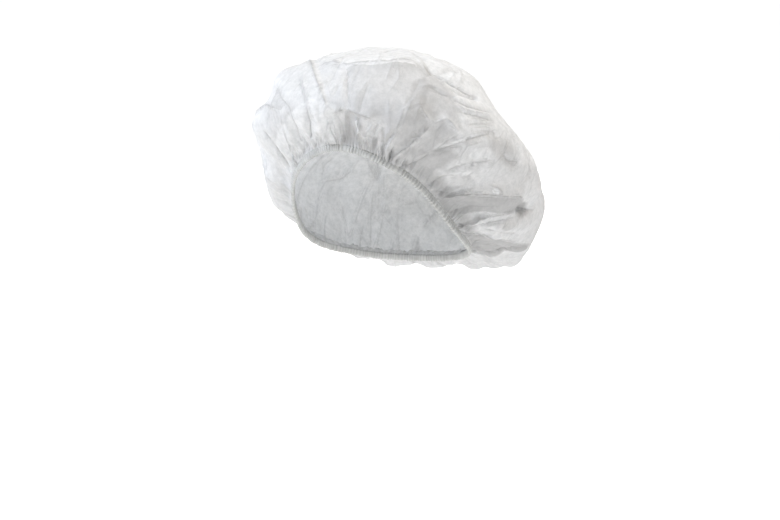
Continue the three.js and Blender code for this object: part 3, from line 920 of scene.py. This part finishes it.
def sew_stitches():
    """The hem's seam: one stitch, copied round the rim, each turned a little its own way."""
    deselect_all()
    turned = (0, math.radians(90), 0)
    bpy.ops.mesh.primitive_uv_sphere_add(segments=8, ring_count=6, radius=0.5, rotation=turned)
    first = bpy.context.object
    bpy.ops.object.transform_apply()
    shape = positions(first.data) * np.array([STITCH_LONG, STITCH_THICK, STITCH_THICK])
    groove = np.array([SEAM["out"] / 1000 + STITCH_OUT])
    deselect_all()
    for number in range(STITCHES):
        bearing = np.array([360 * (number + 0.5) / STITCHES])
        place = along_rim(bearing, groove, np.array([STITCH_UP]))[0]
        forward, up, out = (round_rim(way, bearing)[0] for way in (rim_along, rim_up, rim_out))
        turn = STITCH_TURN * math.sin(2.4 * number)
        along = forward * math.cos(turn) + up * math.sin(turn)
        across = up * math.cos(turn) - forward * math.sin(turn)
        copy = first.copy()
        copy.data = first.data.copy()
        set_positions(copy.data, place + shape @ np.array([along, across, out]))
        bpy.context.scene.collection.objects.link(copy)
        copy.select_set(True)
        if number == 0:
            bpy.context.view_layer.objects.active = copy
    bpy.data.objects.remove(first)
    bpy.ops.object.join()
    seam = bpy.context.object
    seam.name = "hem_stitches"
    round_over(seam.data)
    return seam


hem = fold_hem()
hem_stitches = sew_stitches()

# --- Materials ---


def colour(code):
    """An sRGB hex colour as the linear values that a shader takes."""
    parts = [int(code[i : i + 2], 16) / 255 for i in (1, 3, 5)]
    return (*[p / 12.92 if p <= 0.04045 else ((p + 0.055) / 1.055) ** 2.4 for p in parts], 1)


def node(tree, kind, links=(), span=(), stops=(), **settings):
    """Adds a node with its settings, with in_ before those that are inputs, and its links.

    A link is an input, the source node, and that node's output if it isn't the first. span is a range's From
    Min, From Max, To Min and To Max, and stops are a ramp's places and colours.
    """
    made = tree.nodes.new("ShaderNode" + kind)
    for name, value in settings.items():
        if name.startswith("in_"):
            key = name[3:]
            made.inputs[int(key) if key.isdigit() else key.replace("_", " ")].default_value = value
        else:
            setattr(made, name, value)
    for key, value in zip(("From Min", "From Max", "To Min", "To Max"), span):
        made.inputs[key].default_value = value
    for number, (place, code) in enumerate(stops):
        made.color_ramp.elements[number].position = place
        made.color_ramp.elements[number].color = colour(code)
    for socket, source, *output in links:
        tree.links.new(source.outputs[output[0] if output else 0], made.inputs[socket])
    return made


def new_material(name):
    material = bpy.data.materials.new(name)
    material.use_nodes = True
    return material, material.node_tree


def seen_through(tree, shade, normal, share=()):
    """Ends a cloth's nodes: matt, and lit from behind by the share of the light that comes through it."""
    links = [("Base Color", shade), ("Normal", normal)]
    front = node(tree, "BsdfPrincipled", links, in_Roughness=MATT, in_Specular_IOR_Level=SHEEN)
    through = node(tree, "BsdfTranslucent", [("Color", shade), ("Normal", normal)])
    both = node(tree, "MixShader", [*share, (1, front), (2, through)], in_Fac=PASSING_DOUBLED)
    node(tree, "OutputMaterial", [("Surface", both)])


def cloth_layers_and_painted_shading(tree, place):
    """How much cloth the light has to pass, as the mesh has it, with the areas of painted shade and painted
    highlight laid over it, their edges wavering a little.
    """
    layers = [node(tree, "Attribute", attribute_name="layers"), "Fac"]
    waver = node(tree, "TexNoise", place, in_Scale=EDGE_WAVER, in_Detail=2)
    shift = node(tree, "MapRange", [("Value", waver)], span=(0, 1, -WAVER_REACH, WAVER_REACH))
    for number, painted_area in enumerate(FOLDS_AND_PAINTED_SHADE + PAINTED_HIGHLIGHTS):
        outside, keep = (1, "MAXIMUM") if number < len(FOLDS_AND_PAINTED_SHADE) else (MOST_LAYERS, "MINIMUM")
        inside = node(tree, "Attribute", attribute_name=f"fold_{number}")
        wavered = node(tree, "Math", [(0, inside, "Fac"), (1, shift)], operation="ADD")
        span = (-painted_area.soft / 2, painted_area.soft / 2, outside, painted_area.layers)
        over = node(tree, "MapRange", [("Value", wavered)], span=span)
        layers = [node(tree, "Math", [(0, *layers), (1, over)], operation=keep)]
    return layers


def crease_shade_lines_and_dips(tree):
    """The creases' painted shade lines and their dips, sharper than the mesh can follow."""
    gap = node(tree, "Attribute", attribute_name="crease_gap")
    strength = node(tree, "Attribute", attribute_name="crease_strength")
    away = node(tree, "Math", [(0, gap, "Fac")], operation="ABSOLUTE")
    thin = node(tree, "MapRange", [("Value", away)], span=(0, LINE_HALF, 1, 0))
    wide = node(tree, "MapRange", [("Value", away)], span=(0, DIP_HALF, 1, 0))
    deep = node(tree, "Math", [(0, strength, "Fac")], operation="ABSOLUTE")
    line = node(tree, "Math", [(0, thin), (1, deep)], operation="MULTIPLY")
    dip = node(tree, "Math", [(0, wide), (1, strength, "Fac")], operation="MULTIPLY")
    return line, dip


def pleat_streaks(tree):
    """Fine pleats that run out from the hem over the flat cloth, finer than the mesh can follow, which the
    material bumps and darkens as painted shade.
    """
    flat = node(tree, "UVMap", uv_map="flat_cloth")
    polar = node(tree, "VectorMath", [(0, flat)], operation="NORMALIZE")
    radius = node(tree, "VectorMath", [(0, flat)], operation="LENGTH")
    spokes = node(tree, "VectorMath", [(0, polar)], operation="SCALE", in_Scale=PLEATS_ROUND)
    stretch = node(tree, "Math", [(0, radius, "Value")], operation="MULTIPLY", in_1=PLEATS_UP)
    outward = node(tree, "CombineXYZ", [("Z", stretch)])
    rays = node(tree, "VectorMath", [(0, spokes), (1, outward)], operation="ADD")
    streak = node(tree, "TexNoise", [("Vector", rays)], in_Scale=1, in_Detail=2, in_Roughness=0.55)
    span = (BLANK_RADIUS - PLEATS_FROM, BLANK_RADIUS - PLEATS_WHOLE, 0, 1)
    edge = node(tree, "MapRange", [("Value", radius, "Value")], span=span)
    return node(tree, "Math", [(0, streak), (1, edge)], operation="MULTIPLY")


def crumples(tree, place):
    """Papery crumples all over."""
    bent = node(tree, "TexNoise", place, in_Scale=CRUMPLE_BENDS, in_Detail=2)
    shifted = node(tree, "VectorMath", [(0, bent, "Color")], operation="SCALE", in_Scale=CRUMPLE_BEND)
    moved = node(tree, "VectorMath", [*place, (1, shifted)], operation="ADD")
    settings = {"in_Scale": CRUMPLES, "in_Detail": 3, "in_Roughness": 0.6}
    return node(tree, "TexNoise", [("Vector", moved)], noise_type="RIDGED_MULTIFRACTAL", **settings)


def filaments(tree, place):
    """The fine unevenness that the filaments give."""
    return node(tree, "TexNoise", place, in_Scale=FILAMENTS, in_Detail=3, in_Roughness=0.7)


def spunbond():
    """Polypropylene filaments laid at random and bonded by heated points: white, matt, lets light through,
    with shade and highlights painted into its colour at its folds, creases and pleats.
    """
    material, tree = new_material("spunbond_polypropylene_thermally_bonded")
    tree.nodes.clear()
    place = [("Vector", node(tree, "TexCoord"), "Object")]
    # The web is cloudy, because the filaments lie thicker in some places than in others.
    cloud = node(tree, "TexNoise", place, in_Scale=CLOUDS, in_Detail=6, in_Roughness=0.75)
    tint = node(tree, "ValToRGB", [("Fac", cloud)], stops=[(0.36, "#E8EAEB"), (0.64, "#FAFBFC")])
    # Less light comes through where folds lie over each other; there, in hollows and on the side away from
    # the light, the colour is also darkened as painted shade, and it is lightened as painted highlight where
    # the cloth turns to the light.
    layers = cloth_layers_and_painted_shading(tree, place)
    painted_shade = node(tree, "MapRange", [("Value", *layers)], clamp=False, span=(1, MOST_LAYERS, 1, DARKEST_PAINTED_SHADE))
    passing = node(tree, "MapRange", [("Value", *layers)], span=(1, MOST_LAYERS, PASSING, PASSING_DENSE))
    line, dip = crease_shade_lines_and_dips(tree)
    pleats = pleat_streaks(tree)
    normal = None
    for source, strong, distance in (
        (filaments(tree, place), 0.3, 0.0003),
        (crumples(tree, place), 0.18, 0.0012),
        (pleats, 0.8, 0.0016),
        (dip, 0.7, -0.0008),
    ):
        links = [("Height", source)] + ([("Normal", normal)] if normal else [])
        normal = node(tree, "Bump", links, in_Strength=strong, in_Distance=distance)
    # Painted shade along the pleats' streaks.
    pleat_shade = node(tree, "MapRange", [("Value", pleats)], span=(0.35, 0.75, 1, 0.86))
    crease_shade = node(tree, "MapRange", [("Value", line)], span=(0, 1, 1, LINE_SHADE))
    pleat_and_crease_shade = node(tree, "Math", [(0, pleat_shade), (1, crease_shade)], operation="MULTIPLY")
    dark = node(tree, "Math", [(0, pleat_and_crease_shade), (1, painted_shade)], operation="MULTIPLY")
    shade = node(tree, "VectorMath", [(0, tint), ("Scale", dark)], operation="SCALE")
    seen_through(tree, shade, normal, [(0, passing)])
    return material


def hem_cloth():
    """The same cloth, doubled and drawn up, so less light comes through it, and tinted greyer than the crown,
    for the doubled cloth and as painted shade.
    """
    material, tree = new_material("spunbond_polypropylene_doubled_hem")
    tree.nodes.clear()
    place = [("Vector", node(tree, "TexCoord"), "Object")]
    links = [("Height", filaments(tree, place))]
    bump = node(tree, "Bump", links, in_Strength=0.35, in_Distance=0.0003)
    cloud = node(tree, "TexNoise", place, in_Scale=HEM_CLOUDS, in_Detail=4)
    tint = node(tree, "ValToRGB", [("Fac", cloud)], stops=[(0.3, "#C4C6C5"), (0.7, "#D6D8D7")])
    # The cloth lies in more layers in the pleats' dips, which are darkened as painted shade.
    dip = node(tree, "Attribute", attribute_name="dip")
    painted_shade = node(tree, "MapRange", [("Value", dip, "Fac")], span=(0.2, 1, 1, 0.76))
    shade = node(tree, "VectorMath", [(0, tint), ("Scale", painted_shade)], operation="SCALE")
    seen_through(tree, shade, bump)
    return material


def finish_plain(tree, tint, bump, roughness):
    """Ends the nodes of a plain material, which lets no light through."""
    shader = tree.nodes["Principled BSDF"]
    shader.inputs["Roughness"].default_value = roughness
    tree.links.new(tint.outputs["Color"], shader.inputs["Base Color"])
    tree.links.new(bump.outputs["Normal"], shader.inputs["Normal"])


def sewing_thread():
    """Spun polyester thread, two plies twisted, white and slightly glossy."""
    material, tree = new_material("spun_polyester_thread")
    place = [("Vector", node(tree, "TexCoord"), "Object")]
    ply = node(tree, "TexWave", place, in_Scale=THREAD_PLIES, in_Distortion=1.5)
    bump = node(tree, "Bump", [("Height", ply, "Fac")], in_Strength=0.5, in_Distance=0.0001)
    fuzz = node(tree, "TexNoise", place, in_Scale=THREAD_FUZZ)
    tint = node(tree, "ValToRGB", [("Fac", fuzz)], stops=[(0, "#B9BAB8"), (1, "#DFE0DE")])
    finish_plain(tree, tint, bump, 0.5)
    return material


def knitted_elastic():
    """Flat elastic: covered rubber threads side by side, held by a polyester knit."""
    material, tree = new_material("knitted_polyester_and_rubber_elastic")
    place = [("Vector", node(tree, "TexCoord"), "Object")]
    threads = {"bands_direction": "Z", "in_Scale": RUBBER_THREADS, "in_Distortion": 0.5}
    rows = node(tree, "TexWave", place, **threads)
    loops = node(tree, "TexVoronoi", place, in_Scale=KNIT_LOOPS)
    knit = node(tree, "Math", [(0, rows, "Fac"), (1, loops)], operation="ADD")
    bump = node(tree, "Bump", [("Height", knit)], in_Strength=0.6, in_Distance=0.0002)
    tint = node(tree, "ValToRGB", [("Fac", rows, "Fac")], stops=[(0, "#DEDEDA"), (1, "#F3F3F0")])
    finish_plain(tree, tint, bump, 0.7)
    return material


crown_cloth.data.materials.append(spunbond())
hem.data.materials.append(hem_cloth())
hem_stitches.data.materials.append(sewing_thread())
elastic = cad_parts["elastic"]
for slot in elastic.material_slots:
    slot.material = knitted_elastic()

for piece, node_name, finish in (
    (crown_cloth, "crown", "nonwoven"),
    (hem, "hem_band", "hem_nonwoven"),
    (hem_stitches, None, "hem_nonwoven"),
):
    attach(piece, "root")
    if node_name:
        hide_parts(node_name)

# --- The stage ---


def direction(azimuth, elevation):
    """The way to a place at an azimuth, 0 at the front and 90 at the wearer's left, and an elevation."""
    a, e = math.radians(azimuth), math.radians(elevation)
    return Vector((math.sin(a) * math.cos(e), -math.cos(a) * math.cos(e), math.sin(e)))


def shine(name, strength, azimuth, elevation, colour_code):
    """A soft distant lamp that shines from an azimuth and elevation."""
    lamp = bpy.data.lights.new(name, "SUN")
    lamp.energy = strength
    lamp.angle = math.radians(LAMP_WIDE)
    lamp.color = colour(colour_code)[:3]
    thing = bpy.data.objects.new(name, lamp)
    bpy.context.scene.collection.objects.link(thing)
    thing.rotation_euler = direction(azimuth, elevation).to_track_quat("Z", "Y").to_euler()


def lay_floor():
    """A pale matt floor that goes over into the backdrop far away."""
    deselect_all()
    bpy.ops.mesh.primitive_plane_add(size=FLOOR_WIDE, location=(0, 0, -FLOOR_DOWN))
    floor = bpy.context.object
    floor.name = "floor"
    paper, tree = new_material("pale_matt_floor")
    ground = tree.nodes["Principled BSDF"]
    ground.inputs["Base Color"].default_value = colour("#F2F2F2")
    ground.inputs["Roughness"].default_value = 0.9
    ground.inputs["Emission Color"].default_value = (1, 1, 1, 1)
    place = node(tree, "TexCoord")
    away = node(tree, "VectorMath", [(0, place, "Object")], operation="LENGTH")
    span = (GLOW_FROM, GLOW_WHOLE, 0, FLOOR_GLOW)
    glow = node(tree, "MapRange", [("Value", away, "Value")], interpolation_type="SMOOTHSTEP", span=span)
    tree.links.new(glow.outputs["Result"], ground.inputs["Emission Strength"])
    floor.data.materials.append(paper)
    return floor


def hang_backdrop():
    """A white backdrop at eye level all round, and a dark ceiling."""
    world = bpy.data.worlds.new("studio")
    world.use_nodes = True
    tree = world.node_tree
    tree.nodes.clear()
    way = node(tree, "TexCoord")
    parts = node(tree, "SeparateXYZ", [("Vector", way, "Generated")])
    span = (HORIZON_TOP, CEILING, HORIZON, OVERHEAD)
    band = node(tree, "MapRange", [("Value", parts, "Z")], interpolation_type="SMOOTHSTEP", span=span)
    sky = node(tree, "Background", [("Strength", band)], in_Color=(1, 1, 1, 1))
    node(tree, "OutputWorld", [("Surface", sky)])
    return world


floor = lay_floor()
scene = bpy.context.scene
scene.world = hang_backdrop()
for lamp in LAMPS:
    shine(**lamp)
scene.view_settings.view_transform = "Standard"
camera_data = bpy.data.cameras.new("camera")
camera_data.sensor_width = SENSOR
camera_data.lens = LENS
camera = bpy.data.objects.new("camera", camera_data)
scene.collection.objects.link(camera)
back = direction(CAMERA_AZIMUTH, CAMERA_ELEVATION)
right = direction(CAMERA_AZIMUTH + 90, 0)
camera.location = back * CAMERA_DISTANCE + right * CAMERA_RIGHT - back.cross(right) * CAMERA_DOWN
camera.rotation_euler = back.to_track_quat("Z", "Y").to_euler()
scene.camera = camera
